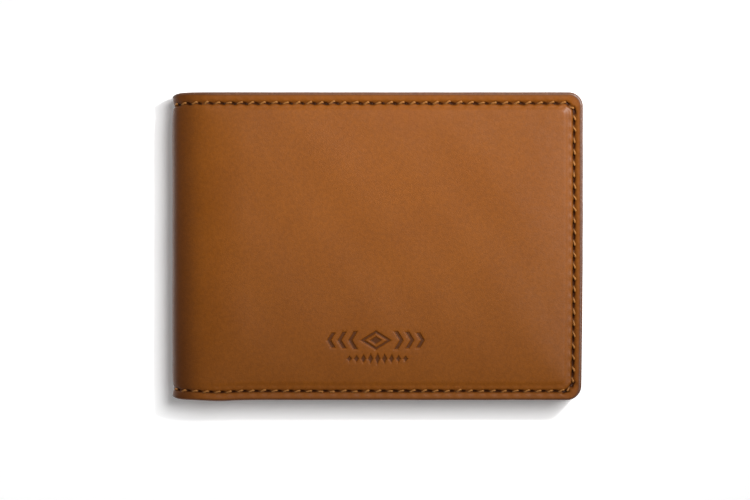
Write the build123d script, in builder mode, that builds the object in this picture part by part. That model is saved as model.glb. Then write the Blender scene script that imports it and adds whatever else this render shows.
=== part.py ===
"""Bifold wallet, closed and lying flat on its back cover.

+X runs from the fold to the open edge, +Y to the mouth of the bill compartment, +Z up.
The origin is the middle of the closed wallet's footprint, on the surface it lies on.

The wallet is two mirrored halves joined by a spine. Each half is a stack of sewn layers:
cover leather, skived stiffener, lining, bill panel, pocket base and three card pockets.
A layer's place in the stack is its depth, measured inwards from the cover's outer face.
The leather bends along both sides of the spine, so the spine is hinged to both halves.
"""

import os

from build123d import *

# ---- driving dimensions, in millimetres ------------------------------------------------
CLOSED_LENGTH = 114.0  # fold to open edge
CLOSED_HEIGHT = 85.5  # bottom seam to bill mouth
CLOSED_THICKNESS = 12.8
CORNER_RADIUS = 4.0

LEATHER = 1.2
STIFFENER = 0.4
LINING = 0.4
BILL_PANEL = 0.5
POCKET_BASE = 0.6
POCKET_FABRIC = 0.2
POCKET_STRIP = 0.6
LOWER_POCKET = 0.75
EDGE_PAINT = 0.3

COVER_CROWN = 1.3  # how far the padded middle of a cover stands out from its sewn border
CROWN_RAMP = 12.0  # width of the slope round that middle
CROWN_START = 1.6  # from the stitch line to the foot of the slope
SKIVE = 1.5  # width over which the stiffener's edge is thinned away

LAYER_GAP = 0.2  # air between two layers that open apart
PANEL_DROP = 4.0  # the inner panels stop this far below the shell's mouth edge
PANEL_SPINE_X = -47.0  # the card pockets' edge beside the fold
POCKET_STEP = 11.0  # from one pocket mouth to the next
POCKET_DEPTH = 48.0  # how far an upper or middle pocket reaches down from its mouth
STRIP_LAP = 3.0  # a pocket's fabric is glued this far up behind its leather strip
MOUTH_GAP = 0.3  # between a pocket's mouth and the leather strip above it

STITCH_INSET = 2.7  # seam line to the leather's edge
STITCH_PITCH = 3.2
STITCH_LENGTH = 2.4
THREAD = 0.5
THREAD_HEIGHT = 0.4  # a flattened stitch lies flush in its groove
GROOVE_WIDTH = 0.8
INNER_THREAD_HEIGHT = 0.15  # inside, the stitches are pulled down into the leather

HINGE_INSET = 1.1  # a hinge's distance from the outside of the spine, within its leather
HINGE_RISE = 2.9  # and from the outside of its half's sewn border
SPINE_REACH = 1.15  # how far the spine's leather stands beyond its hinges
SWEEP_CLEARANCE = 0.1  # beyond the spine's ends, which swing inwards as it opens

# ---- places worked out from them -------------------------------------------------------
HALF_HEIGHT = CLOSED_HEIGHT / 2
OPEN_X = CLOSED_LENGTH / 2
MID_Z = CLOSED_THICKNESS / 2
FOLD_X = CORNER_RADIUS - OPEN_X  # the crown and the stitches stop this side of the spine
HINGE_X = HINGE_INSET - OPEN_X  # the back half's hinge, and the front half's above it
STITCH_Y = HALF_HEIGHT - STITCH_INSET
STITCH_X = OPEN_X - STITCH_INSET
BODY_X = OPEN_X - EDGE_PAINT  # the layers end here, and the edge paint covers their ends
BODY_Y = HALF_HEIGHT - EDGE_PAINT
PANEL_TOP = HALF_HEIGHT - PANEL_DROP
MOUTHS = [PANEL_TOP - POCKET_STEP * n for n in (1, 2, 3)]  # upper, middle, lower

# depths of the layers' faces below the cover's outer face
BORDER = COVER_CROWN
LEATHER_IN = BORDER + LEATHER
LINING_IN = LEATHER_IN + LINING
BILL_OUT = LINING_IN + LAYER_GAP
BILL_IN = BILL_OUT + BILL_PANEL
BASE_OUT = BILL_IN + LAYER_GAP
BASE_IN = BASE_OUT + POCKET_BASE
UPPER_OUT = BASE_IN + LAYER_GAP
UPPER_IN = UPPER_OUT + POCKET_FABRIC
MIDDLE_OUT = UPPER_IN + 0.75 * LAYER_GAP
MIDDLE_IN = MIDDLE_OUT + POCKET_FABRIC
LOWER_OUT = MIDDLE_IN + 0.75 * LAYER_GAP
LOWER_IN = LOWER_OUT + LOWER_POCKET
HINGE_DEPTH = BORDER + HINGE_RISE
SPINE_END = HINGE_DEPTH - SPINE_REACH  # the spine's leather starts at this depth
INNER_LEFT = HINGE_X + SPINE_REACH + SWEEP_CLEARANCE  # a half's inner layers start here

MIRROR_PLANE = Plane.XY.offset(MID_Z)
OUTER_CORNER = CORNER_RADIUS - EDGE_PAINT
SMALL_CORNER = 1.0
HEM_CORNER = 0.5


def panel(left, right, bottom, top, bottom_radius, top_radius):
    """A rectangle whose two corners on the open side are rounded. Used inside BuildSketch."""
    with Locations(((left + right) / 2, (bottom + top) / 2)):
        Rectangle(right - left, top - bottom)
    fillet(vertices().group_by(Axis.X)[-1].sort_by(Axis.Y)[0], bottom_radius)
    fillet(vertices().group_by(Axis.X)[-1].sort_by(Axis.Y)[-1], top_radius)


def crown_outline(inset, depth):
    """The outline, inset from the crown's foot, of the padded middle at one depth."""
    edge = STITCH_INSET + CROWN_START + inset
    with BuildSketch(Plane.XY.offset(depth)) as outline:
        panel(
            FOLD_X + CROWN_START + inset,
            OPEN_X - edge,
            edge - HALF_HEIGHT,
            HALF_HEIGHT - edge,
            CORNER_RADIUS,
            CORNER_RADIUS,
        )
    return outline.sketch


def crown(foot_inset, foot_depth, top_depth):
    """Loft from the crown's foot to its flat top, to be added or subtracted."""
    foot = crown_outline(foot_inset, foot_depth)
    top = crown_outline(CROWN_RAMP, top_depth)
    return Solid.make_loft([foot.wires()[0], top.wires()[0]], True)


def spine_layer(outer_depth, inner_depth, bottom, top, end_depth):
    """A layer of the spine: a flat strip that stands across the fold."""
    with BuildPart() as layer:
        with BuildSketch(Plane.YZ.offset(outer_depth - BORDER - OPEN_X)):
            with Locations(((bottom + top) / 2, MID_Z)):
                Rectangle(top - bottom, CLOSED_THICKNESS - 2 * end_depth)
        extrude(amount=inner_depth - outer_depth)
    return layer.part


def stitch_row(first, last, fixed, along_x):
    """Evenly spaced stitch centres between two coordinates, on a line at fixed."""
    count = int((last - first) / STITCH_PITCH)
    start = (first + last - (count - 1) * STITCH_PITCH) / 2
    spots = [start + n * STITCH_PITCH for n in range(count)]
    return [(s, fixed) if along_x else (fixed, s) for s in spots]


def save(part, name):
    part.label = name
    export_step(part, f"parts/{name}.step")


def save_half(piece, name):
    """Writes the back half's piece, and its mirror image as the front half's."""
    save(piece.part, f"back_{name}")
    with BuildPart() as mirrored:
        add(mirror(piece.part, about=MIRROR_PLANE))
    save(mirrored.part, f"front_{name}")


os.makedirs("parts", exist_ok=True)

# ---- cover leather: a sewn border round a crowned middle ---------------------------------
with BuildPart() as cover_leather:
    with BuildSketch(Plane.XY.offset(BORDER)):
        panel(-OPEN_X, BODY_X, -BODY_Y, BODY_Y, OUTER_CORNER, OUTER_CORNER)
    extrude(amount=LEATHER)
    add(crown(0.0, BORDER, 0.0))
    add(crown(0.0, LEATHER_IN, LEATHER), mode=Mode.SUBTRACT)
    with BuildSketch(Plane.XY.offset(BORDER)):
        past_left = -OPEN_X - LEATHER
        outer_y, inner_y = STITCH_Y + GROOVE_WIDTH / 2, STITCH_Y - GROOVE_WIDTH / 2
        outer_x, inner_x = STITCH_X + GROOVE_WIDTH / 2, STITCH_X - GROOVE_WIDTH / 2
        panel(past_left, outer_x, -outer_y, outer_y, SMALL_CORNER, SMALL_CORNER)
        with Locations(((past_left + inner_x) / 2, 0)):
            Rectangle(inner_x - past_left, 2 * inner_y, mode=Mode.SUBTRACT)
    extrude(amount=THREAD_HEIGHT, mode=Mode.SUBTRACT)
save_half(cover_leather, "cover_leather")

# ---- stiffener: board with skived edges, between leather and lining ----------------------
with BuildPart() as cover_stiffener:
    add(crown(0.0, LEATHER_IN, LEATHER))
    add(crown(SKIVE, LEATHER_IN, LEATHER + STIFFENER), mode=Mode.SUBTRACT)
save_half(cover_stiffener, "cover_stiffener")

# ---- lining: glued to the leather's border and over the stiffener ------------------------
with BuildPart() as cover_lining:
    with BuildSketch(Plane.XY.offset(LEATHER_IN)):
        panel(INNER_LEFT, BODY_X, -BODY_Y, BODY_Y, OUTER_CORNER, OUTER_CORNER)
    extrude(amount=LINING)
    add(crown(SKIVE, LEATHER_IN, LEATHER + STIFFENER))
    add(crown(SKIVE, LINING_IN, LEATHER + STIFFENER + LINING), mode=Mode.SUBTRACT)
save_half(cover_lining, "cover_lining")

# ---- bill panel: the inner wall of the bill compartment ----------------------------------
with BuildPart() as bill_panel:
    with BuildSketch(Plane.XY.offset(BILL_OUT)):
        panel(INNER_LEFT, BODY_X, -BODY_Y, PANEL_TOP, OUTER_CORNER, SMALL_CORNER)
    extrude(amount=BILL_PANEL)
save_half(bill_panel, "bill_panel")

# ---- pocket base: carries the card pockets, with a slip pocket behind it -----------------
with BuildPart() as pocket_base:
    with BuildSketch(Plane.XY.offset(BASE_OUT)):
        panel(PANEL_SPINE_X, BODY_X, -BODY_Y, PANEL_TOP, OUTER_CORNER, SMALL_CORNER)
    extrude(amount=POCKET_BASE)
save_half(pocket_base, "pocket_base")

# ---- upper and middle card pockets: a leather strip on a fabric body ---------------------
for name, outer, inner, mouth, next_mouth in (
    ("upper", UPPER_OUT, UPPER_IN, MOUTHS[0], MOUTHS[1]),
    ("middle", MIDDLE_OUT, MIDDLE_IN, MOUTHS[1], MOUTHS[2]),
):
    strip_foot = next_mouth + MOUTH_GAP
    with BuildPart() as pocket_fabric:
        with BuildSketch(Plane.XY.offset(outer)):
            foot = mouth - POCKET_DEPTH
            panel(PANEL_SPINE_X, BODY_X, foot, strip_foot + STRIP_LAP, HEM_CORNER, HEM_CORNER)
        extrude(amount=POCKET_FABRIC)
    save_half(pocket_fabric, f"{name}_pocket_fabric")
    with BuildPart() as pocket_strip:
        with BuildSketch(Plane.XY.offset(inner)):
            panel(PANEL_SPINE_X, BODY_X, strip_foot, mouth, HEM_CORNER, HEM_CORNER)
        extrude(amount=POCKET_STRIP)
    save_half(pocket_strip, f"{name}_pocket_leather")

# ---- lower card pocket: one full leather panel -------------------------------------------
with BuildPart() as lower_pocket:
    with BuildSketch(Plane.XY.offset(LOWER_OUT)):
        panel(PANEL_SPINE_X, BODY_X, -BODY_Y, MOUTHS[2], OUTER_CORNER, HEM_CORNER)
    extrude(amount=LOWER_POCKET)
save_half(lower_pocket, "lower_pocket_leather")

# ---- edge paint: a bead that seals the layers' edges -------------------------------------
with BuildPart() as edge_paint:
    # the cover's edge, painted on three sides
    with BuildSketch(Plane.XY.offset(BORDER)):
        panel(INNER_LEFT, OPEN_X, -HALF_HEIGHT, HALF_HEIGHT, CORNER_RADIUS, CORNER_RADIUS)
        with BuildSketch(mode=Mode.SUBTRACT):
            panel(INNER_LEFT - LEATHER, BODY_X, -BODY_Y, BODY_Y, OUTER_CORNER, OUTER_CORNER)
    extrude(amount=LINING_IN - BORDER)
    # the inner layers' edge, painted where they are sewn: open edge and bottom
    with BuildSketch(Plane.XY.offset(LINING_IN)):
        panel(PANEL_SPINE_X, OPEN_X, -HALF_HEIGHT, PANEL_TOP, CORNER_RADIUS, HEM_CORNER)
        with BuildSketch(mode=Mode.SUBTRACT):
            panel(PANEL_SPINE_X - LEATHER, BODY_X, -BODY_Y, HALF_HEIGHT, OUTER_CORNER, HEM_CORNER)
    extrude(amount=LOWER_IN - LINING_IN)
save_half(edge_paint, "edge_paint")

# ---- cover thread: stitches in the cover's groove, round three sides ---------------------
rows_along_x = [
    spot
    for side in (-STITCH_Y, STITCH_Y)
    for spot in stitch_row(FOLD_X, STITCH_X - SMALL_CORNER, side, True)
]
rows_along_y = stitch_row(SMALL_CORNER - STITCH_Y, STITCH_Y - SMALL_CORNER, STITCH_X, False)
with BuildPart() as cover_thread:
    with BuildSketch(Plane.XY.offset(BORDER)):
        with Locations(*rows_along_x):
            SlotOverall(STITCH_LENGTH, THREAD)
        with Locations(*rows_along_y):
            SlotOverall(STITCH_LENGTH, THREAD, rotation=90)
    extrude(amount=THREAD_HEIGHT)
save_half(cover_thread, "cover_thread")

# ---- pocket thread: the same seams seen inside, on whichever layer faces inwards ---------
INNER_SPINE_X = PANEL_SPINE_X + STITCH_INSET
INNER_TOP_Y = PANEL_TOP - STITCH_INSET
bands = (
    (LOWER_IN, -STITCH_Y, MOUTHS[2]),
    (MIDDLE_IN + POCKET_STRIP, MOUTHS[2] + MOUTH_GAP, MOUTHS[1]),
    (UPPER_IN + POCKET_STRIP, MOUTHS[1] + MOUTH_GAP, MOUTHS[0]),
    (BASE_IN, MOUTHS[0] + MOUTH_GAP, INNER_TOP_Y - SMALL_CORNER),
)
with BuildPart() as pocket_thread:
    for depth, low, high in bands:
        with BuildSketch(Plane.XY.offset(depth)):
            for seam_x in (INNER_SPINE_X, STITCH_X):
                with Locations(*stitch_row(low, high, seam_x, False)):
                    SlotOverall(STITCH_LENGTH, THREAD, rotation=90)
        extrude(amount=INNER_THREAD_HEIGHT)
    for depth, seam_y in ((LOWER_IN, -STITCH_Y), (BASE_IN, INNER_TOP_Y)):
        first, last = INNER_SPINE_X + SMALL_CORNER, STITCH_X - SMALL_CORNER
        with BuildSketch(Plane.XY.offset(depth)):
            with Locations(*stitch_row(first, last, seam_y, True)):
                SlotOverall(STITCH_LENGTH, THREAD)
        extrude(amount=INNER_THREAD_HEIGHT)
save_half(pocket_thread, "pocket_thread")

# ---- spine: leather, lining, bill panel and stitches between the two halves ----------------
# Each of its hinges is a line within the leather, where it folds.
GROOVE_FLOOR = -OPEN_X + THREAD_HEIGHT
with BuildPart() as spine_leather:
    add(spine_layer(BORDER, LEATHER_IN, -HALF_HEIGHT, HALF_HEIGHT, SPINE_END))
    with BuildSketch(Plane.YZ.offset(GROOVE_FLOOR)):
        with Locations((-STITCH_Y, MID_Z), (STITCH_Y, MID_Z)):
            Rectangle(GROOVE_WIDTH, CLOSED_THICKNESS)
    extrude(amount=-THREAD_HEIGHT, mode=Mode.SUBTRACT)
save(spine_leather.part, "spine_leather")

for name, outer, inner, top in (
    ("lining", LEATHER_IN, LINING_IN, HALF_HEIGHT),
    ("bill_panel", BILL_OUT, BILL_IN, PANEL_TOP),
):
    save(spine_layer(outer, inner, -HALF_HEIGHT, top, HINGE_DEPTH), f"spine_{name}")

with BuildPart() as spine_thread:
    with BuildSketch(Plane.YZ.offset(GROOVE_FLOOR)):
        for stitch_z in (MID_Z - STITCH_PITCH / 2, MID_Z + STITCH_PITCH / 2):
            with Locations((-STITCH_Y, stitch_z), (STITCH_Y, stitch_z)):
                SlotOverall(STITCH_LENGTH, THREAD, rotation=90)
    extrude(amount=-THREAD_HEIGHT)
save(spine_thread.part, "spine_thread")
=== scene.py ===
"""A closed leather bifold wallet: its visible pieces, their materials, the light and the camera.

Lengths are in millimetres until a mesh is made. Every layer is laid out flat first, in (u, y):
y is the frame's, and u is x on a cover's flat part and the length run along the leather round
the spine. A layer's inset is how far it lies inside the cover's outer face. wrap() turns
(u, y, inset) into a place in the frame, for the back half or, mirrored, for the front half.
"""

from math import cos, pi, radians, sin

import bmesh
import bpy
import numpy as np
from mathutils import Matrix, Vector


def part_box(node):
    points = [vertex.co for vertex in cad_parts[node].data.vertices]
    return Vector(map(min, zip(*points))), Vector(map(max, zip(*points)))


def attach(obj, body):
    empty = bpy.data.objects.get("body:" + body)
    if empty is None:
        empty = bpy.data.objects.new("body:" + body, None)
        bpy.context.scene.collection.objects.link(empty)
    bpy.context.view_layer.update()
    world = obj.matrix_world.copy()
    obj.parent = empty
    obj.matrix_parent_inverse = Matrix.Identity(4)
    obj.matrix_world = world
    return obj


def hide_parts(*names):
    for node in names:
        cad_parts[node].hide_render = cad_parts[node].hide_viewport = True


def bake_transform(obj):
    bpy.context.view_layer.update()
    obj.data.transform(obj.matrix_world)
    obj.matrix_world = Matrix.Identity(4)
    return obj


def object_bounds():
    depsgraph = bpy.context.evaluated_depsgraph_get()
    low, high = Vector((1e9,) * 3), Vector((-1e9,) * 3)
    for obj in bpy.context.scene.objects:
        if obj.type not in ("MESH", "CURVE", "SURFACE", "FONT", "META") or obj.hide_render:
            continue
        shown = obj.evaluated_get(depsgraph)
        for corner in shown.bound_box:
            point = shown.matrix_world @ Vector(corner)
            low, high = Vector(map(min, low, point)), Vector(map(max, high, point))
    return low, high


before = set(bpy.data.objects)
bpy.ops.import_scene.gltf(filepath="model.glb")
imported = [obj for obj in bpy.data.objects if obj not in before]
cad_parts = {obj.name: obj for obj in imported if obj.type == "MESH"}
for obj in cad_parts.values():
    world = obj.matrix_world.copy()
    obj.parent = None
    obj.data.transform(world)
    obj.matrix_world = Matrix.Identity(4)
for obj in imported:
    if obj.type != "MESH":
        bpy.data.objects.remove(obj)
CAD_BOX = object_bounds()
MM = 0.001


def corners(node):
    """A CAD node's lowest and highest corner, in millimetres."""
    low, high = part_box(node)
    return np.array(low) / MM, np.array(high) / MM


# ---- sizes from the frame -----------------------------------------------------------------------
SPINE_X = CAD_BOX[0][0] / MM
OPEN_X, HALF_Y, THICKNESS = (value / MM for value in CAD_BOX[1])
MID_Z = THICKNESS / 2
BORDER = corners("back_edge_paint")[0][2]  # inset of the sewn border
BODY_X, BODY_Y, LEATHER_IN = corners("back_cover_leather")[1]
LINING_IN = corners("back_cover_lining")[1][2]
LEATHER = LEATHER_IN - BORDER
LINING = LINING_IN - LEATHER_IN
STIFFENER = corners("back_cover_lining")[0][2] - LEATHER
PANEL_TOP = corners("back_bill_panel")[1][1]
PANEL_LEFT = corners("back_pocket_base")[0][0]
LOWER_IN = corners("back_lower_pocket_leather")[1][2]

# ---- the cover's shape --------------------------------------------------------------------------
CORNER = 4.0
SPINE_RADIUS = 3.8  # outside of the fold
SHOULDER_ANGLE = radians(18)  # slope where the fold's tight bend eases into the cover
CROWN_FOOT = 4.1  # from the outline to the step that the stiffener's edge makes
STEP_HEIGHT, STEP_WIDTH = 0.2, 0.9
STEP_SQUARENESS = 6.0  # how tightly the step turns the cover's corners
DOME_WIDTH, DOME_POWER = 24.0, 2.4
SPINE_NARROWING = 0.9  # how far the spine's ends draw in at the top and the bottom
NARROWING_RUN = 2.1  # and how far from the spine's middle that is felt
BULGE, BULGE_U, BULGE_RUN = 0.3, -44.5, 5.0  # where the fold pushes the bottom edge out
LEAN, LEAN_TOP, LEAN_RUN = 0.5, 10.0, 52.0  # how far the open edge leans in at its lower end
PULL, PULL_WIDTH = 0.15, 2.4  # how far the seams pull the spine in
EDGE_ROUND, LOW_EDGE_ROUND = 0.7, 0.38  # width of the painted edge, and along the bottom
EDGE_SINK = 0.35  # how far the leather dips under the paint
MARK_DEPTH, MARK_WALL, MARK_DARK = 0.3, 0.24, 0.72
MARK_DISH_DEPTH, MARK_DISH_WIDTH = 0.04, 0.5  # the leather dips a little round the mark
FOLD_SHADE_RUN, FOLD_SHADE_WIDTH = 4.5, 4.3  # painted shade round the fold is deepest this far round it
FOLD_SHADE, FOLD_SHADE_SLOPE = 0.61, -0.0018  # that painted shade at y = 0, and its change a millimetre: darker towards the bottom
BEND_LEAD = 1.5  # the bend starts this far outside the fold's tight part
CREASE_PLACE, CREASE_WIDTH, CREASE_DEPTH = 1.3, 0.22, 0.12  # under the mouth of a pocket
BEAD_POWER = 2 / 2.6  # how full the painted edge's section is
BEAD_OVERLAP, BEAD_INSET = 0.03, 0.04  # onto the leather's faces, and inside the outline
BEAD_BACK = 0.6, 0.1  # its back's share of its height, and how far it lies behind the face
SCALLOP_DEPTH, SCALLOP_PITCH = 0.05, 0.8  # the pocket layers show in their painted edge
BOARD_GAP, LINING_GAP = 0.01, 0.02  # outside the stiffener and outside the lining
BOARD_EDGE = 0.05  # how thin the stiffener's edges are

# ---- seams and threads --------------------------------------------------------------------------
TOP_SEAM, BOTTOM_SEAM, SIDE_SEAM = 3.1, 2.5, 2.5  # from the outline
INNER_SEAM = 2.7
SEAM_TURN = 2.0  # a diagonal stitch turns the seam's corner, this far along both ways
PITCH = 3.2
PANEL_GAPS = 0.5, 0.4  # between a pocket's bottom or top edge and its own row of stitches
SEAM_REACH = 3.0  # how far from a stitch the leather feels it
# the slits' darkness, the last value here, is painted shade in the needle holes
SLIT_LENGTH, SLIT_WIDTH, SLIT_DEPTH, SLIT_PAINTED_SHADE = 0.92, 0.34, 0.5, 1.15
SLIT_PLACE, SLIT_SHIFT = 0.1, 0.1  # from the hole, along the stitch and to the wallet's middle
MOUTH_SLANT, PLAIN_SLANT = 0.3, 0.05  # the slits slant along the mouth
MOUTH_BAND = 4.0
# the groove's darkness, the last value here, is painted shade along the seam
GROOVE_DEPTH, GROOVE_WIDTH, GROOVE_PAINTED_SHADE = 0.2, 0.42, 0.55
TROUGH_DEPTH, TROUGH_WIDTH = 0.28, 1.25  # the stitches pull the leather down on both sides
LIP_HEIGHT, LIP_PLACE, LIP_WIDTH = 0.13, 0.95, 0.4  # what the groove pushes up beside it
THREAD_RADIUS = 0.23
THREAD_SIDES, THREAD_RINGS = 12, 22
THREAD_START, THREAD_STOP = 0.95, 0.43  # where a stitch shows, from the holes at its two ends
THREAD_SWAY, THREAD_DIP, THREAD_TOP = 0.25, 0.42, 0.12
THREAD_DIVE = 0.7  # how far both ends go down
THREAD_TAPER = 0.85, 1.1  # shares of the radius at a stitch's two ends
THREAD_VARY = 0.09, 0.04, 0.1, 0.06, 0.6  # spread of a stitch's sway, lift, ends and twist
PLIES, PLY_TURNS, PLY_DEPTH = 3, 2.6, 0.2

# ---- how finely the meshes are cut --------------------------------------------------------------
GRID_CELL, PLAIN_CELL, SPINE_CELL, CORNER_CELL = 1.7, 3.0, 0.8, 0.6
LARGE_CORNER = 2.0  # radius above which a corner gets finer cells
STEP_ZONE, RIM_ZONE = (0.9, 0.45), (1.2, 0.45)  # reach, and the size of the cells within it
SEAM_ZONE, STITCH_ZONE, POCKET_SEAM_ZONE = (2.2, 0.45), (0.95, 0.2), (1.2, 0.28)
MARK_ZONE, MARK_WALL_ZONE = (0.8, 0.4), (0.22, 0.105)
CREASE_ZONE = (0.6, 0.35)
EDGE_LINE = 0.15  # a line of points this close to the outline keeps its edge crisp
EDGE_SLOPE = 0.6  # how far the outline itself sinks in, as a share of that
OUTLINE_STEP = 0.8
BEAD_POINTS, TURN_POINTS = 13, 12

SHOULDER_RADIUS = (MID_Z - SPINE_RADIUS * cos(SHOULDER_ANGLE)) / (1 - cos(SHOULDER_ANGLE))
SHOULDER_RUN = SHOULDER_RADIUS * SHOULDER_ANGLE
BEND_X = SPINE_X + SPINE_RADIUS * (1 - sin(SHOULDER_ANGLE))
SHOULDER_X = BEND_X + SHOULDER_RADIUS * sin(SHOULDER_ANGLE)
BEND_U = SHOULDER_X - SHOULDER_RUN
SPINE_U = BEND_U - SPINE_RADIUS * (pi / 2 - SHOULDER_ANGLE)  # the middle of the spine
BODY_CORNER = CORNER - (OPEN_X - BODY_X)
COVER_BOX = (SPINE_U, BODY_X, -BODY_Y, BODY_Y)
COVER_RADII = (BODY_CORNER, BODY_CORNER)

HALVES = ("back", "front")


# ---- where a layer lies -------------------------------------------------------------------------
def ease(t):
    t = np.clip(t, 0, 1)
    return t * t * (3 - 2 * t)


def bell(distance, width):
    return np.exp(-((distance / width) ** 2))


def section(u, inset):
    """x and z on a cross-section of the back half."""
    run = np.maximum(SHOULDER_X - u, 0)
    on_spine = run > SHOULDER_RUN
    past = (run - SHOULDER_RUN) / SPINE_RADIUS
    slope = np.where(on_spine, SHOULDER_ANGLE + past, run / SHOULDER_RADIUS)
    radius = np.where(on_spine, SPINE_RADIUS, SHOULDER_RADIUS)
    centre_x = np.where(on_spine, SPINE_X + SPINE_RADIUS, SHOULDER_X)
    centre_z = np.where(on_spine, MID_Z, SHOULDER_RADIUS)
    x = np.where(run > 0, centre_x - (radius - inset) * np.sin(slope), u)
    return x, centre_z - (radius - inset) * np.cos(slope)


def border_inset(u):
    """Inset of the sewn border: it runs straight on until the spine's curve reaches it."""
    curve = section(u, 0)[1]
    return (curve**4 + BORDER**4) ** 0.25 - curve


def wrap(u, y, inset, half):
    """Places in the frame, in metres."""
    towards_spine = ease((SHOULDER_X - u) / (SHOULDER_X - SPINE_U))
    seam = bell(HALF_Y - np.abs(y) - TOP_SEAM, PULL_WIDTH)
    x, z = section(u, inset + PULL * seam * towards_spine**2)
    x = x - LEAN * np.clip((LEAN_TOP - y) / LEAN_RUN, 0, 1) ** 2 * np.clip(u / OPEN_X, 0, 1)
    bulge = BULGE * bell(u - BULGE_U, BULGE_RUN) * (y < 0)
    narrowing = SPINE_NARROWING / np.cosh((u - SPINE_U) / NARROWING_RUN)
    y = y * (1 + (bulge - narrowing) / HALF_Y)
    z = THICKNESS - z if half == "front" else z
    return np.stack((x, y, z), axis=-1) * MM


def outline_distance(u, y):
    """Distance inwards from the outline: the open edge, the top and the bottom."""
    right, side = OPEN_X - u, HALF_Y - np.abs(y)
    rounded = CORNER - np.hypot(CORNER - right, CORNER - side)
    return np.where((right < CORNER) & (side < CORNER), rounded, np.minimum(right, side))


def edge_width(y):
    """Width of the painted edge, seen from outside: it is pressed narrower along the bottom."""
    return EDGE_ROUND + (LOW_EDGE_ROUND - EDGE_ROUND) * ease((CORNER - HALF_Y - y) / CORNER)


def crown(u, y):
    """0 on the sewn border, 1 on the padded middle."""
    right, side = np.maximum(OPEN_X - u, 0.1), np.maximum(HALF_Y - np.abs(y), 0.1)
    power = -STEP_SQUARENESS
    inside = (right**power + side**power) ** (1 / power) - CROWN_FOOT
    share = STEP_HEIGHT / BORDER
    dome = 1 - (1 - np.clip(inside / DOME_WIDTH, 0, 1)) ** DOME_POWER
    return share * ease(inside / STEP_WIDTH) + (1 - share) * dome


# ---- seams: stitches, each with its needle hole, direction, length and inset --------------------
def stitch_axes(u, y, hole, way):
    """How far along a stitch and to its left a place is, from its hole."""
    along = (u - hole[0]) * way[0] + (y - hole[1]) * way[1]
    return along, (y - hole[1]) * way[0] - (u - hole[0]) * way[1]


class Seam:
    def __init__(self, stitches=()):
        self.stitches = list(stitches)

    def row(self, start, end, inset=None):
        """Adds stitches from start to end, (u, y) each, as near to the pitch as fits."""
        start, end = np.array(start, float), np.array(end, float)
        length = np.hypot(*(end - start))
        count = max(1, round(length / PITCH))
        for n in range(count):
            hole = start + (end - start) * n / count
            self.stitches.append((hole, (end - start) / length, length / count, inset))

    def relief(self, u, y):
        """Height that the seam's groove and slits give a leather face, and the painted shade in
        them.
        """
        height, dark = np.zeros_like(u), np.zeros_like(u)
        near = np.zeros(len(u), bool)
        for hole, way, length, _ in self.stitches:
            s, c = stitch_axes(u, y, hole, way)
            near |= (np.abs(c) < SEAM_REACH) & (s > -SEAM_REACH) & (s < length + SEAM_REACH)
        holes, ways, lengths = (np.array(column).T for column in list(zip(*self.stitches))[:3])
        s, c = stitch_axes(u[near][:, None], y[near][:, None], holes, ways)
        away = np.hypot(np.maximum(np.maximum(-s, s - lengths), 0), c).min(axis=1)

        number = np.arange(len(lengths))
        slant = np.where(holes[1] > HALF_Y - MOUTH_BAND, MOUTH_SLANT, PLAIN_SLANT)
        middle_on_left = ways[1] * holes[0] - ways[0] * holes[1] > 0
        c_slit = c - np.where(middle_on_left, SLIT_SHIFT, -SLIT_SHIFT)
        pit = np.zeros(len(away))
        for s_slit, own_number in ((s, number), (s - lengths, number + 1)):
            vary = 1 + 0.2 * np.sin(2.7 * own_number**1.3)
            along = (s_slit - SLIT_PLACE) / (SLIT_LENGTH * vary)
            across = (c_slit + slant * s_slit) / (SLIT_WIDTH * vary)
            pit = np.maximum(pit, np.exp(-((along**2 + across**2) ** 1.5)).max(axis=1))

        nearest = np.abs(s).argmin(axis=1)
        phase = np.take_along_axis(s, nearest[:, None], 1)[:, 0] / lengths[nearest]
        groove = bell(away, GROOVE_WIDTH)
        lip = bell(away - LIP_PLACE, LIP_WIDTH) * (0.6 - 0.4 * np.cos(2 * pi * phase))
        sunk = GROOVE_DEPTH * groove + SLIT_DEPTH * pit + TROUGH_DEPTH * bell(away, TROUGH_WIDTH)
        height[near] = LIP_HEIGHT * lip - sunk
        # painted shade in the slits and along the groove
        dark[near] = np.clip(SLIT_PAINTED_SHADE * pit + GROOVE_PAINTED_SHADE * groove, 0, 1)
        return height, dark

    def distance(self, u, y):
        """Distance to the nearest stitch, which is endless if there is none."""
        best = np.full(len(u), np.inf)
        for hole, way, length, _ in self.stitches:
            s, c = stitch_axes(u, y, hole, way)
            best = np.minimum(best, np.hypot(s - np.clip(s, 0, length), c))
        return best


def cover_seam():
    """Along the mouth and down the open edge, then along the bottom, all away from the spine."""
    top, bottom, side = HALF_Y - TOP_SEAM, BOTTOM_SEAM - HALF_Y, OPEN_X - SIDE_SEAM
    stops = [
        (SPINE_U, top),
        (side - SEAM_TURN, top),
        (side, top - SEAM_TURN),
        (side, bottom + SEAM_TURN),
        (side - SEAM_TURN, bottom),
    ]
    seam = Seam()
    for start, end in zip(stops, stops[1:]):
        seam.row(start, end)
    seam.row((SPINE_U, bottom), stops[-1])
    return seam


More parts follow.
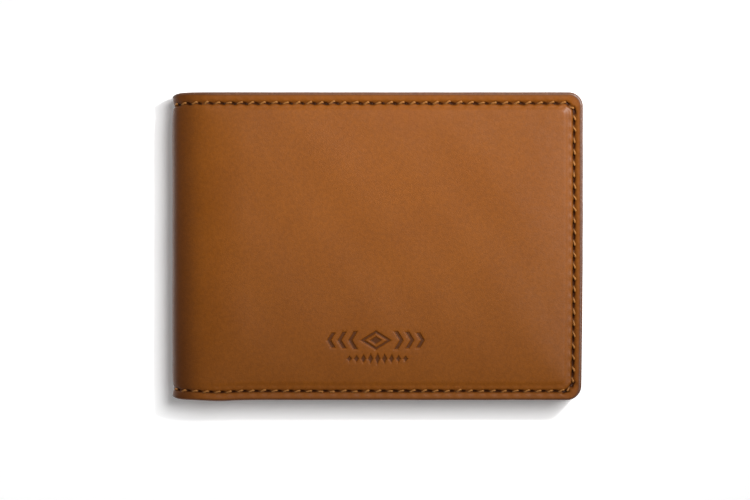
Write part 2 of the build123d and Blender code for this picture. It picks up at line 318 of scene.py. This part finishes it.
def pocket_seam():
    """Inside a half: both sides and the bottom of the card pockets, the base's top, the mouth."""
    left, side = PANEL_LEFT + INNER_SEAM, OPEN_X - INNER_SEAM
    bottom, top = INNER_SEAM - HALF_Y, PANEL_TOP - INNER_SEAM
    low_gap, high_gap = PANEL_GAPS
    seam = Seam()
    low = bottom
    for node in ("lower_pocket_leather", "middle_pocket_leather", "upper_pocket_leather"):
        high, inset = corners(f"back_{node}")[1][1:]
        for at in (left, side):
            seam.row((at, low + low_gap), (at, high - high_gap), inset)
        low = high
    base_in = corners("back_pocket_base")[1][2]
    for at in (left, side):
        seam.row((at, low + low_gap), (at, top), base_in)
    seam.row((left, top), (side, top), base_in)
    seam.row((left, bottom), (side, bottom), LOWER_IN)
    seam.row((SPINE_U, HALF_Y - TOP_SEAM), (side, HALF_Y - TOP_SEAM), LINING_IN)
    return seam


COVER_SEAM, POCKET_SEAM = cover_seam(), pocket_seam()


# ---- the mark: a plain ornament of lozenges and chevrons ----------------------------------------
MARK_CENTRE, MARK_ROW = (-0.5, -26.1), (-0.05, -31.2)  # of the large shapes and the small ones
CHEVRONS = (7.1, 2.5), (10.1, 2.3), (13.0, 2.1)  # how far out the tip is, and half the height


def lozenge(x, y, width, height):
    """Signed distance to a lozenge of this half width and half height."""
    return (np.abs(x) / width + np.abs(y) / height - 1) * width * height / np.hypot(width, height)


def mark_distance(x, y):
    """Signed distance to the ornament, in millimetres, negative inside it."""
    across, down = x - MARK_CENTRE[0], y - MARK_CENTRE[1]
    shapes = [np.abs(lozenge(across, down, 3.7, 2.3)) - 0.36, lozenge(across, down, 1.7, 1.1)]
    for tip, height in CHEVRONS:
        slant = np.abs(across) - tip + 0.6 * np.abs(down)
        shapes.append(np.maximum(np.abs(slant) * 0.86 - 0.5, np.abs(down) - height))
    across, down = x - MARK_ROW[0], y - MARK_ROW[1]
    for n in range(-4, 5):
        shapes.append(lozenge(across - 1.95 * n, down, 0.72, 1.6 - 0.2 * abs(n)))
    return np.minimum.reduce(shapes)


# ---- sheets: closed solids with one finely cut face ---------------------------------------------
def lines(low, high, near_low):
    """Places of grid lines, with one close to the high end, and to the low end if near_low."""
    first, last = low + EDGE_LINE * near_low, high - EDGE_LINE
    inside = np.linspace(first, last, max(2, round((last - first) / GRID_CELL) + 1))
    return np.unique(np.concatenate(([low], inside, [high])))


def spine_cells(u, size):
    """Sizes of the cells: fine round the fold, and size elsewhere."""
    return np.where(u < BEND_U + 1, SPINE_CELL, size)


def zoned(size, *zones):
    """Sizes of the cells, set by each zone in turn: a distance, and the reach and size."""
    for distance, (reach, cell) in zones:
        size = np.where(distance < reach, cell, size)
    return size


def refine(grid, wanted, touch_outline):
    """Divides the faces that are larger than wanted, and leaves the outline alone if told to."""
    for _ in range(6):
        faces = grid.faces[:]
        centres = np.array([face.calc_center_median()[:2] for face in faces])
        sizes = np.sqrt([face.calc_area() for face in faces])
        large = sizes > 1.4 * wanted(centres[:, 0], centres[:, 1])
        edges = {
            edge
            for face, big in zip(faces, large)
            if big
            for edge in face.edges
            if touch_outline or not edge.is_boundary
        }
        if not edges:
            return
        bmesh.ops.subdivide_edges(grid, edges=list(edges), cuts=1, use_grid_fill=True)
        many_sided = [face for face in grid.faces if len(face.verts) > 4]
        bmesh.ops.triangulate(grid, faces=many_sided)


def rounded(u, y, box, radii):
    """Moves a grid's points so that its two corners on the open side are round."""
    _, right, bottom, top = box
    u, y = u.copy(), y.copy()
    for radius, level, way in ((radii[0], bottom, -1), (radii[1], top, 1)):
        a = (u - right + radius) / radius
        b = (way * (y - level) + radius) / radius
        inside = (a > 0) & (b > 0)
        a, b = a[inside], b[inside]
        u[inside] = right - radius + radius * a * np.sqrt(1 - b * b / 2)
        y[inside] = level + way * (radius * b * np.sqrt(1 - a * a / 2) - radius)
    return u, y


def grid_arrays(grid):
    """A grid's points, (u, y) each, and its faces."""
    grid.verts.index_update()
    points = np.array([vert.co[:2] for vert in grid.verts])
    return points, [[vert.index for vert in face.verts] for face in grid.faces]


def outline_edges(faces):
    """The directed edges that only one face has."""
    edges = {}
    for face in faces:
        for edge in zip(face, face[1:] + face[:1]):
            if edges.pop(edge[::-1], None) is None:
                edges[edge] = True
    return list(edges)


def make_mesh(name, places, faces, rests, darks, turned, sharp_angle):
    """A linked object of joined arrays, with its faces turned over if turned.

    The materials read rest, a point's place before any bending, and dark.
    """
    mesh = bpy.data.meshes.new(name)
    if turned:
        faces = [face[::-1] for face in faces]
    mesh.from_pydata(np.concatenate(places).tolist(), [], faces)
    rest = mesh.attributes.new("rest", "FLOAT_VECTOR", "POINT")
    rest.data.foreach_set("vector", np.concatenate(rests).ravel())
    dark = mesh.attributes.new("dark", "FLOAT", "POINT")
    dark.data.foreach_set("value", np.concatenate(darks))
    mesh.shade_smooth()
    mesh.set_sharp_from_angle(angle=radians(sharp_angle))
    piece = bpy.data.objects.new(name, mesh)
    bpy.context.scene.collection.objects.link(piece)
    return piece


def sheet(name, half, box, radii, outer, inner, fine=None, wanted=None):
    """A layer between two faces. outer and inner give (inset, darkness) at (u, y).

    box is left, right, bottom, top, and radii are those of the two corners on the open side.
    fine names the face, if any, that wanted() cuts finely.
    """
    left, right, bottom, top = box
    open_left = left > SPINE_U + 0.01  # if not, it ends at the spine's middle
    grid = bmesh.new()
    u_lines, y_lines = lines(left, right, open_left), lines(bottom, top, True)
    verts = [[grid.verts.new((u, y, 0)) for u in u_lines] for y in y_lines]
    for row, above in zip(verts, verts[1:]):
        for n in range(len(row) - 1):
            grid.faces.new((row[n], row[n + 1], above[n + 1], above[n]))

    def coarse(u, y):
        in_corner = (u > right - radii[0]) & ((y < bottom + radii[0]) | (y > top - radii[1]))
        in_corner &= max(radii) > LARGE_CORNER
        return np.where(in_corner, CORNER_CELL, spine_cells(u, PLAIN_CELL))

    refine(grid, coarse, True)
    cuts = {"outer": grid_arrays(grid)}
    cuts["inner"] = cuts["outer"]
    if fine:
        refine(grid, wanted, False)
        cuts[fine] = grid_arrays(grid)
    grid.free()

    places, rests, darks = [], [], []
    for side, face, way in (("outer", outer, 1), ("inner", inner, -1)):
        points = cuts[side][0]
        u, y = rounded(points[:, 0], points[:, 1], box, radii)
        inset, dark = face(u, y)
        rim = np.minimum.reduce((right - points[:, 0], points[:, 1] - bottom, top - points[:, 1]))
        if open_left:
            rim = np.minimum(rim, points[:, 0] - left)
        inset = inset + way * EDGE_LINE * EDGE_SLOPE * (rim < EDGE_LINE / 2)
        places.append(wrap(u, y, inset, half))
        rests.append(np.stack((u, y, np.full_like(u, way + 2.0 * (half == "front"))), axis=-1))
        darks.append(dark)

    (outer_points, outer_faces), (inner_points, inner_faces) = cuts["outer"], cuts["inner"]
    count = len(outer_points)
    index = {tuple(np.round(point, 4)): count + n for n, point in enumerate(inner_points)}

    def opposite(n):
        return index[tuple(np.round(outer_points[n], 4))]

    walls = [[opposite(a), opposite(b), b, a] for a, b in outline_edges(outer_faces)]
    faces = outer_faces + [[n + count for n in face[::-1]] for face in inner_faces] + walls
    return make_mesh(name, places, faces, rests, darks, half == "back", 50)


# ---- tubes: threads and painted edges -----------------------------------------------------------
def tube_faces(rings, sides, start):
    """Faces of a closed tube of rings, with a cap at each end. start is its first point."""
    faces = []
    for ring in range(rings - 1):
        for side in range(sides):
            a = start + ring * sides + side
            b = start + ring * sides + (side + 1) % sides
            faces.append([a, b, b + sides, a + sides])
    faces.append([start + side for side in reversed(range(sides))])
    faces.append([start + (rings - 1) * sides + side for side in range(sides)])
    return faces


def thread(name, half, seam, outside, seed):
    """A seam's stitches: three-ply thread that rises from one hole and dives into the next."""
    turn = np.linspace(0, 2 * pi, THREAD_SIDES, endpoint=False)
    t = np.linspace(0, 1, THREAD_RINGS)
    rng = np.random.default_rng(seed)
    places, rests, darks, faces = [], [], [], []
    for hole, way, length, level in seam.stitches:
        sway, lift, start, stop, twist = rng.normal(0, 1, 5) * THREAD_VARY
        first, last = THREAD_START + start, length - THREAD_STOP + stop
        s = first + (last - first) * t
        c = (THREAD_SWAY + sway) * np.sin(1.2 * pi * (t - 0.5)) + stop
        h = THREAD_TOP - THREAD_DIP * (1 - t) + lift - THREAD_DIVE * np.abs(2 * t - 1) ** 7
        path = np.stack((s, c, h), axis=-1)
        tangent = np.gradient(path, axis=0)
        tangent /= np.linalg.norm(tangent, axis=1)[:, None]
        side = np.cross(tangent, (0, 0, 1.0))
        side /= np.linalg.norm(side, axis=1)[:, None]
        up = np.cross(side, tangent)

        plies = np.abs(np.cos(PLIES / 2 * (turn[None] - PLY_TURNS * s[:, None] + twist)))
        taper = THREAD_RADIUS * np.linspace(*THREAD_TAPER, THREAD_RINGS)[:, None]
        radius = (taper * (1 + PLY_DEPTH * plies) * (1 + 0.6 * start))[..., None]
        ring = turn[None, :, None]
        tube = path[:, None] + radius * np.cos(ring) * side[:, None]
        tube = (tube + radius * np.sin(ring) * up[:, None] * 0.9).reshape(-1, 3)
        u = np.maximum(hole[0] + tube[:, 0] * way[0] - tube[:, 1] * way[1], SPINE_U)
        y = hole[1] + tube[:, 0] * way[1] + tube[:, 1] * way[0]
        if outside:
            inset = border_inset(u) - tube[:, 2] + 0.9 * TROUGH_DEPTH
        else:
            inset = border_inset(u) + level - BORDER + tube[:, 2] - 0.4 * TROUGH_DEPTH
        faces += tube_faces(THREAD_RINGS, THREAD_SIDES, sum(len(p) for p in places))
        places.append(wrap(u, y, inset, half))
        rests.append(np.stack((s.repeat(THREAD_SIDES), np.tile(turn, THREAD_RINGS), u), axis=-1))
        # painted shade: darker where the thread lies low, and towards the start of each stitch
        start_shade = 0.75 * (1 - t.repeat(THREAD_SIDES)) ** 1.3
        darks.append(np.clip(start_shade - tube[:, 2] / 0.5, 0, 1))
    return make_mesh(name, places, faces, rests, darks, (half == "front") != outside, 80)


def outline_path(left, top, round_top):
    """Points on the outline and the way outwards from them, (u, y, out_u, out_y) each.

    It runs along the bottom, up the open edge and, if round_top, back along the top.
    """
    def straight(a, b):
        return np.linspace(a, b, max(2, round(abs(b - a) / OUTLINE_STEP)), endpoint=False)

    def stretch(u, y, out_u, out_y):
        return np.stack(np.broadcast_arrays(u, y, out_u, out_y), axis=-1)

    turn = np.linspace(0, pi / 2, TURN_POINTS, endpoint=False)
    across, along = np.sin(turn), np.cos(turn)
    right, low, high = OPEN_X - CORNER, CORNER - HALF_Y, top - CORNER
    parts = [
        stretch(straight(left, right), -HALF_Y, 0, -1),
        stretch(right + CORNER * across, low - CORNER * along, across, -along),
    ]
    if round_top:
        parts += [
            stretch(OPEN_X, straight(low, high), 1, 0),
            stretch(right + CORNER * along, high + CORNER * across, along, across),
            stretch(np.append(straight(right, left), left), top, 0, 1),
        ]
    else:
        parts.append(stretch(OPEN_X, np.append(straight(low, top), top), 1, 0))
    return np.concatenate(parts)


def bead(path, outer, inner, scallop_depth):
    """u, y and inset of rings of a rounded edge between two insets, along a path."""
    angle = np.linspace(-pi / 2, pi / 2, BEAD_POINTS)
    middle, reach = (outer + inner) / 2, (inner - outer) / 2 + BEAD_OVERLAP
    level = middle + reach * np.sign(np.sin(angle)) * np.abs(np.sin(angle)) ** BEAD_POWER
    depth = 1 - np.abs(np.cos(angle)) ** BEAD_POWER
    back_share, back_depth = BEAD_BACK
    level = np.append(level, (middle + reach * back_share, middle - reach * back_share))
    depth = np.append(depth, (1, 1))
    shown = np.arange(len(level)) < BEAD_POINTS  # all but the back's two points
    width = edge_width(path[:, 1:2]) + back_depth * ~shown
    scallops = scallop_depth * (1 + np.cos(2 * pi * (level - outer) / SCALLOP_PITCH))
    wave = 0.015 * np.sin(path[:, 0:1] * 0.37) * np.sin(path[:, 1:2] * 0.43 + 1)
    inward = depth * width + BEAD_INSET + (scallops + wave) * shown
    u = path[:, 0:1] - path[:, 2:3] * inward
    y = path[:, 1:2] - path[:, 3:4] * inward
    return u, y, border_inset(u) + level - BORDER


def painted_edge(half):
    """The cover's bead on three sides, and the pocket layers' bead on the two sewn ones."""
    places, rests, faces, darks = [], [], [], []
    for path, outer, inner, scallop_depth in (
        (outline_path(SPINE_U, HALF_Y, True), BORDER, LINING_IN, 0),
        (outline_path(PANEL_LEFT, PANEL_TOP, False), LINING_IN, LOWER_IN, SCALLOP_DEPTH),
    ):
        u, y, inset = bead(path, outer, inner, scallop_depth)
        faces += tube_faces(*u.shape, sum(len(p) for p in places))
        u, y, inset = np.maximum(u, SPINE_U).ravel(), y.ravel(), inset.ravel()
        places.append(wrap(u, y, inset, half))
        rests.append(np.stack((u, y, inset), axis=-1))
        darks.append(np.zeros_like(u))
    return make_mesh(f"{half}_painted_edge", places, faces, rests, darks, half == "back", 60)


# ---- the pieces ---------------------------------------------------------------------------------
def bare_inset(u, y):
    """Inset of the cover's outer face, before its seams, mark and unevenness."""
    return border_inset(u) * (1 - crown(u, y))


def board_thickness(u, y):
    return STIFFENER * ease(crown(u, y) * 4)


def waves(u, y):
    """The slight unevenness of the padded leather."""
    return 0.05 * np.sin(u * 0.13 + 1) * np.sin(y * 0.17) + 0.03 * np.sin(u * 0.31 + y * 0.23)


def cover_leather(half):
    def outer(u, y):
        height, dark = COVER_SEAM.relief(u, y)
        edge, paint = outline_distance(u, y), edge_width(y)
        sunk = EDGE_SINK * np.clip((paint - edge) / (0.7 * paint), 0, 1) ** 2
        height += waves(u, y) * ease((edge - CROWN_FOOT) / 8)
        near_fold = bell(u - SPINE_U - FOLD_SHADE_RUN, FOLD_SHADE_WIDTH)
        dark = np.maximum(dark, 0.5 * np.clip(2.2 - 1.2 * edge / paint, 0, 1))
        # painted shade round the fold, deeper towards the bottom
        dark = np.maximum(dark, (FOLD_SHADE + FOLD_SHADE_SLOPE * y) * near_fold)
        if half == "front":
            away = mark_distance(u, y)
            pressed = ease(0.5 - away / MARK_WALL)
            dish = bell(np.maximum(away, 0), MARK_DISH_WIDTH)
            height -= MARK_DEPTH * pressed + MARK_DISH_DEPTH * dish
            dark = np.maximum(dark, MARK_DARK * ease(-away / 0.12 - 0.2))
        return bare_inset(u, y) + sunk - height, dark

    def inner(u, y):
        return bare_inset(u, y) + LEATHER, np.zeros_like(u)

    def wanted(u, y):
        edge, seam = outline_distance(u, y), COVER_SEAM.distance(u, y)
        step = np.abs(edge - CROWN_FOOT - STEP_WIDTH / 2)
        zones = [(step, STEP_ZONE), (edge, RIM_ZONE), (seam, SEAM_ZONE), (seam, STITCH_ZONE)]
        if half == "front":
            away = mark_distance(u, y)
            zones += [(away, MARK_ZONE), (np.abs(away), MARK_WALL_ZONE)]
        return zoned(spine_cells(u, GRID_CELL), *zones)

    name = f"{half}_leather"
    return sheet(name, half, COVER_BOX, COVER_RADII, outer, inner, "outer", wanted)


def cover_lining(half):
    def level(extra):
        def face(u, y):
            inset = bare_inset(u, y) + LEATHER + board_thickness(u, y)
            return inset + extra, np.zeros_like(u)
        return face

    name = f"{half}_lining_cloth"
    return sheet(name, half, COVER_BOX, COVER_RADII, level(LINING_GAP), level(LINING))


def cover_stiffener(half):
    """The board between leather and lining, with thinned edges."""
    def outer(u, y):
        return bare_inset(u, y) + LEATHER + BOARD_GAP, np.zeros_like(u)

    def inner(u, y):
        thickness = np.maximum(board_thickness(u, y), BOARD_EDGE)
        return bare_inset(u, y) + LEATHER + thickness, np.zeros_like(u)

    low, high = corners("back_cover_stiffener")
    return sheet(f"{half}_board", half, (low[0], high[0], low[1], high[1]), (2, 2), outer, inner)


def pocket_layer(half, node, radii, left=None):
    """A flat layer. Leather ones have a crease under the mouth and their seams sunk in."""
    low, high = corners(f"back_{node}")
    top = high[1]
    has_crease = top < PANEL_TOP - 1
    seam = Seam(
        (hole, way, length, inset)
        for hole, way, length, inset in POCKET_SEAM.stitches
        if abs(inset - high[2]) < 0.01 and low[1] < (hole + way * length / 2)[1] < top
    )

    def outer(u, y):
        return border_inset(u) + low[2] - BORDER, np.zeros_like(u)

    def plain_inner(u, y):
        return border_inset(u) + high[2] - BORDER, np.zeros_like(u)

    def leather_inner(u, y):
        inset, dark = plain_inner(u, y)
        crease = bell(top - y - CREASE_PLACE, CREASE_WIDTH) * has_crease
        inset = inset - CREASE_DEPTH * crease
        if seam.stitches:
            height, dark = seam.relief(u, y)
            inset = inset + 0.5 * height
        edge = np.minimum(top - y, OPEN_X - u)
        burnish = 0.6 * np.clip((0.7 - edge) / 0.5, 0, 1)
        # painted shade in the crease and in the seam's slits and groove; burnish darkens the cut
        # edges
        return inset, np.maximum.reduce((dark, 0.3 * crease, burnish))

    def wanted(u, y):
        crease = np.abs(top - y - CREASE_PLACE)
        zones = (crease, CREASE_ZONE), (seam.distance(u, y), POCKET_SEAM_ZONE)
        return zoned(spine_cells(u, PLAIN_CELL), *zones)

    name = f"{half}_{node}_visible"
    box = (low[0] if left is None else left, high[0], low[1], top)
    if "fabric" in node:
        return sheet(name, half, box, radii, outer, plain_inner)
    return sheet(name, half, box, radii, outer, leather_inner, "inner", wanted)


# ---- materials ----------------------------------------------------------------------------------
def wire(tree, node, inputs):
    """Links a node's inputs to sockets, or sets them to plain values."""
    for key, value in inputs.items():
        if isinstance(value, bpy.types.NodeSocket):
            tree.links.new(value, node.inputs[key])
        else:
            node.inputs[key].default_value = value


def add_node(tree, kind, inputs=None, **settings):
    node = tree.nodes.new("ShaderNode" + kind)
    for name, value in settings.items():
        setattr(node, name, value)
    wire(tree, node, inputs or {})
    return node


def new_material(name):
    """A material, with its node tree, its shader, and the sockets of a mesh's rest and dark."""
    material = bpy.data.materials.new(name)
    material.use_nodes = True
    tree = material.node_tree
    shader = tree.nodes["Principled BSDF"]
    rest = add_node(tree, "Attribute", attribute_name="rest").outputs["Vector"]
    dark = add_node(tree, "Attribute", attribute_name="dark").outputs["Fac"]
    return material, tree, shader, rest, dark


def mix(tree, share, a, b, blend_type="MIX"):
    inputs = {0: share, 6: a, 7: b}  # a colour mix's factor, A and B
    return add_node(tree, "Mix", inputs, data_type="RGBA", blend_type=blend_type).outputs[2]


def noise(tree, rest, scale, detail=3.0, roughness=0.55):
    inputs = {"Vector": rest, "Scale": scale, "Detail": detail, "Roughness": roughness}
    return add_node(tree, "TexNoise", inputs).outputs["Fac"]


def map_range(tree, value, from_min, from_max, to_min, to_max):
    ends = {"From Min": from_min, "From Max": from_max, "To Min": to_min, "To Max": to_max}
    return add_node(tree, "MapRange", {"Value": value, **ends}).outputs["Result"]


def spread(tree, value, low=0.0, high=1.0):
    """Stretches a noise's middle range to low..high."""
    return map_range(tree, value, 0.35, 0.65, low, high)


def bump(tree, height, distance, normal=None):
    inputs = {"Height": height, "Distance": distance, "Strength": 1.0}
    if normal:
        inputs["Normal"] = normal
    return add_node(tree, "Bump", inputs).outputs["Normal"]


def leather(name, light, deep, shade):
    """Smooth vegetable-tanned leather: mottled colour, fine pores and wrinkles, and darker where
    the mesh's dark says so, mostly painted shade in dips and round the fold.
    """
    material, tree, shader, rest, dark = new_material(name)
    colour = mix(tree, spread(tree, noise(tree, rest, 0.06, 4.0, 0.6)), deep, light)
    flecks = spread(tree, noise(tree, rest, 1.1, 4.0, 0.7), 0.9, 1.08)
    grey = add_node(tree, "CombineColor", {"Red": flecks, "Green": flecks, "Blue": flecks})
    colour = mix(tree, 1.0, colour, grey.outputs["Color"], "MULTIPLY")
    wrinkles = bump(tree, noise(tree, rest, 2.2, 5.0, 0.6), 0.00003)
    cells = {"Vector": rest, "Scale": 2.4, "Randomness": 1.0}
    pores = add_node(tree, "TexVoronoi", cells, feature="F1").outputs["Distance"]
    run = add_node(tree, "SeparateXYZ", {"Vector": rest}).outputs["X"]
    wire(tree, shader, {
        "Base Color": mix(tree, dark, colour, shade),
        "Normal": bump(tree, pores, 0.000018, wrinkles),
        "Roughness": spread(tree, noise(tree, rest, 0.5), 0.5, 0.6),
        "Specular IOR Level": 0.12,
        "Coat Weight": map_range(tree, run, *POLISH_RUN, *POLISH),
        "Coat Roughness": 0.3,
    })
    return material


def cloth(name, light, deep):
    """Fine twill: slanting ribs crossed by the weft."""
    material, tree, shader, rest, _ = new_material(name)

    def waves(scale, distortion, direction):
        inputs = {"Vector": rest, "Scale": scale, "Distortion": distortion, "Detail": 1.0}
        return add_node(tree, "TexWave", inputs, bands_direction=direction).outputs["Fac"]

    threads = {0: waves(0.42, 0.4, "DIAGONAL"), 1: waves(0.8, 0.3, "Y")}
    weave = add_node(tree, "Math", threads, operation="MULTIPLY").outputs[0]
    fuzz = spread(tree, noise(tree, rest, 4.0))
    wire(tree, shader, {
        "Base Color": mix(tree, weave, deep, light),
        "Normal": bump(tree, fuzz, 0.00003, bump(tree, weave, 0.0001)),
        "Roughness": 0.85,
        "Sheen Weight": 0.2,
    })
    return material


def streaked(name, light, deep, scale, detail, roughness, depth, looks):
    """One noise both colours the surface and raises it."""
    material, tree, shader, rest, _ = new_material(name)
    streaks = noise(tree, rest, scale, detail, roughness)
    colour, normal = mix(tree, spread(tree, streaks), deep, light), bump(tree, streaks, depth)
    wire(tree, shader, {"Base Color": colour, "Normal": normal, **looks})
    return material


def fibre_board(name, light, deep):
    """Bonded leather fibre board."""
    return streaked(name, light, deep, 1.5, 6.0, 0.7, 0.0001, {"Roughness": 0.8})


def edge_paint(name, light, deep):
    """Edge paint: satin, with the slight unevenness of layers under it."""
    looks = {"Roughness": 0.36, "Specular IOR Level": 0.28}
    return streaked(name, light, deep, 1.2, 4.0, 0.6, 0.00008, looks)


def waxed_thread(name, light, deep, shade):
    """Waxed thread: fine filaments along each ply, with painted shade down in the holes."""
    material, tree, shader, rest, dark = new_material(name)
    filaments = noise(tree, rest, 7.0, 2.0)
    wire(tree, shader, {
        "Base Color": mix(tree, dark, mix(tree, spread(tree, filaments), deep, light), shade),
        "Normal": bump(tree, filaments, 0.00003),
        "Roughness": 0.55,
        "Specular IOR Level": 0.2,
    })
    return material


LEATHER_SHADE = (0.035, 0.009, 0.002, 1)
POLISH_RUN, POLISH = (SPINE_U + 1.5, SPINE_U + 5.5), (0.5, 0.08)  # the fold is rubbed smooth

MATERIALS = {
    "cover_leather": leather(
        "tan_leather", (0.18, 0.0517, 0.0034, 1), (0.167, 0.047, 0.0028, 1), LEATHER_SHADE
    ),
    "inner_leather": leather(
        "inner_tan_leather", (0.2, 0.06, 0.006, 1), (0.17, 0.05, 0.005, 1), LEATHER_SHADE
    ),
    "lining": cloth("brown_twill", (0.075, 0.036, 0.018, 1), (0.02, 0.009, 0.005, 1)),
    "stiffener": fibre_board("fibre_board", (0.3, 0.19, 0.1, 1), (0.2, 0.12, 0.06, 1)),
    "edge_paint": edge_paint("brown_edge_paint", (0.125, 0.05, 0.022, 1), (0.085, 0.032, 0.015, 1)),
    "thread": waxed_thread(
        "tan_thread", (0.33, 0.135, 0.03, 1), (0.2, 0.075, 0.015, 1), (0.03, 0.01, 0.004, 1)
    ),
}


# ---- put the halves together --------------------------------------------------------------------
def bend_ends(half):
    """Where the bend between a half and the spine starts and ends, in the leather's middle."""
    x, z = section(np.array(BEND_U + BEND_LEAD), LEATHER / 2)
    start_z = THICKNESS - float(z) if half == "front" else float(z)
    start = (float(x) * MM, 0, start_z * MM)
    return start, ((SPINE_X + LEATHER / 2) * MM, 0, MID_Z * MM)


def finish_piece(piece, half, slot, node, bends=True, spine_node=None):
    """Gives a piece its material, bakes its place into its mesh if bends or parents it to its
    half's body if not, and hides the CAD nodes it shows; the back half's pieces also hide the
    spine's nodes.
    """
    piece.data.materials.append(MATERIALS[slot])
    if bends:
        start, end = bend_ends(half)
        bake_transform(piece)
        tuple(start)
        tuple(end)
    else:
        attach(piece, f"{half}_half")
    nodes = [f"{half}_{node}"]
    if spine_node and half == "back":
        nodes.append(spine_node)
    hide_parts(*nodes)


POCKET_LAYERS = (  # node, slot, and the radii of its lower and upper corner on the open side
    ("pocket_base", "inner_leather", (BODY_CORNER, 1.0)),
    ("upper_pocket_fabric", "lining", (0.5, 0.5)),
    ("upper_pocket_leather", "inner_leather", (0.5, 0.5)),
    ("middle_pocket_fabric", "lining", (0.5, 0.5)),
    ("middle_pocket_leather", "inner_leather", (0.5, 0.5)),
    ("lower_pocket_leather", "inner_leather", (BODY_CORNER, 0.5)),
)

for seed, half in enumerate(HALVES, start=3):
    finish_piece(
        cover_leather(half), half, "cover_leather", "cover_leather", spine_node="spine_leather"
    )
    finish_piece(cover_lining(half), half, "lining", "cover_lining", spine_node="spine_lining")
    finish_piece(cover_stiffener(half), half, "stiffener", "cover_stiffener", bends=False)
    finish_piece(
        pocket_layer(half, "bill_panel", (BODY_CORNER, 1.0), SPINE_U),
        half, "inner_leather", "bill_panel", spine_node="spine_bill_panel",
    )
    for node, slot, radii in POCKET_LAYERS:
        finish_piece(pocket_layer(half, node, radii), half, slot, node, bends=False)
    finish_piece(painted_edge(half), half, "edge_paint", "edge_paint")
    finish_piece(
        thread(f"{half}_cover_stitches", half, COVER_SEAM, True, seed),
        half, "thread", "cover_thread", spine_node="spine_thread",
    )
    finish_piece(
        thread(f"{half}_pocket_stitches", half, POCKET_SEAM, False, seed + len(HALVES)),
        half, "thread", "pocket_thread",
    )


# ---- floor, light and camera --------------------------------------------------------------------
FLOOR_REACH = 12.0  # to each side, in metres
CAMERA_HEIGHT = 2000.0  # above the front cover's sewn border
CAMERA_AT = (-0.71, -1.08)
VIEW_WIDTH = 207.85  # what the picture's width shows at that border
SENSOR_WIDTH = 36.0
SPOTS_AT = (260, 190, 430)


def floor():
    mesh = bpy.data.meshes.new("floor")
    corner_ways = (-1, -1), (1, -1), (1, 1), (-1, 1)
    mesh.from_pydata(
        [(FLOOR_REACH * x, FLOOR_REACH * y, 0) for x, y in corner_ways], [], [(0, 1, 2, 3)]
    )
    plane = bpy.data.objects.new("floor", mesh)
    bpy.context.scene.collection.objects.link(plane)
    material = bpy.data.materials.new("white_paper")
    material.use_nodes = True
    wire(material.node_tree, material.node_tree.nodes["Principled BSDF"], {
        "Base Color": (1, 1, 1, 1),
        "Roughness": 0.9,
        "Specular IOR Level": 0.1,
        "Emission Color": (1, 1, 1, 1),
        "Emission Strength": 0.13,
    })
    mesh.materials.append(material)


def light(name, kind, place, target, energy, **settings):
    lamp = bpy.data.lights.new(name, kind)
    lamp.energy = energy
    for key, value in settings.items():
        setattr(lamp, key, value)
    lamp_object = bpy.data.objects.new(name, lamp)
    lamp_object.location = Vector(place) * MM
    way = Vector(target) * MM - lamp_object.location
    lamp_object.rotation_euler = way.to_track_quat("-Z", "Y").to_euler()
    bpy.context.scene.collection.objects.link(lamp_object)


def spot(name, target, energy, cone):
    light(
        name, "SPOT", SPOTS_AT, target, energy,
        spot_size=radians(cone), spot_blend=1.0, shadow_soft_size=0.03,
    )


def sky(zenith, horizon):
    """Even light from all round, brightest at the horizon."""
    world = bpy.data.worlds.new("studio")
    bpy.context.scene.world = world
    world.use_nodes = True
    tree = world.node_tree
    place = add_node(tree, "TexCoord").outputs["Generated"]
    height = add_node(tree, "SeparateXYZ", {"Vector": place}).outputs["Z"]
    steep = add_node(tree, "Math", {0: height, 1: 0.0}, operation="MAXIMUM").outputs[0]
    share = add_node(tree, "Math", {0: steep, 1: 0.7}, operation="POWER").outputs[0]
    wire(tree, tree.nodes["Background"], {"Color": mix(tree, share, horizon, zenith)})


floor()
light("sun", "SUN", (178, 136, 430), (0, 0, 0), 2.29, angle=radians(29))
spot("key", (48, 52, 0), 12.4, 26.2)
spot("fill", (-47, 13.5, 0), 4.9, 13.8)
sky((0.03, 0.03, 0.032, 1), (0.75, 0.75, 0.75, 1))

camera = bpy.data.cameras.new("camera")
camera.sensor_width = SENSOR_WIDTH
camera.lens = SENSOR_WIDTH * CAMERA_HEIGHT / VIEW_WIDTH
camera.clip_start, camera.clip_end = 0.01, 100.0
camera_object = bpy.data.objects.new("camera", camera)
camera_object.location = Vector((*CAMERA_AT, THICKNESS - BORDER + CAMERA_HEIGHT)) * MM
bpy.context.scene.collection.objects.link(camera_object)
bpy.context.scene.camera = camera_object
bpy.context.scene.view_settings.view_transform = "Standard"
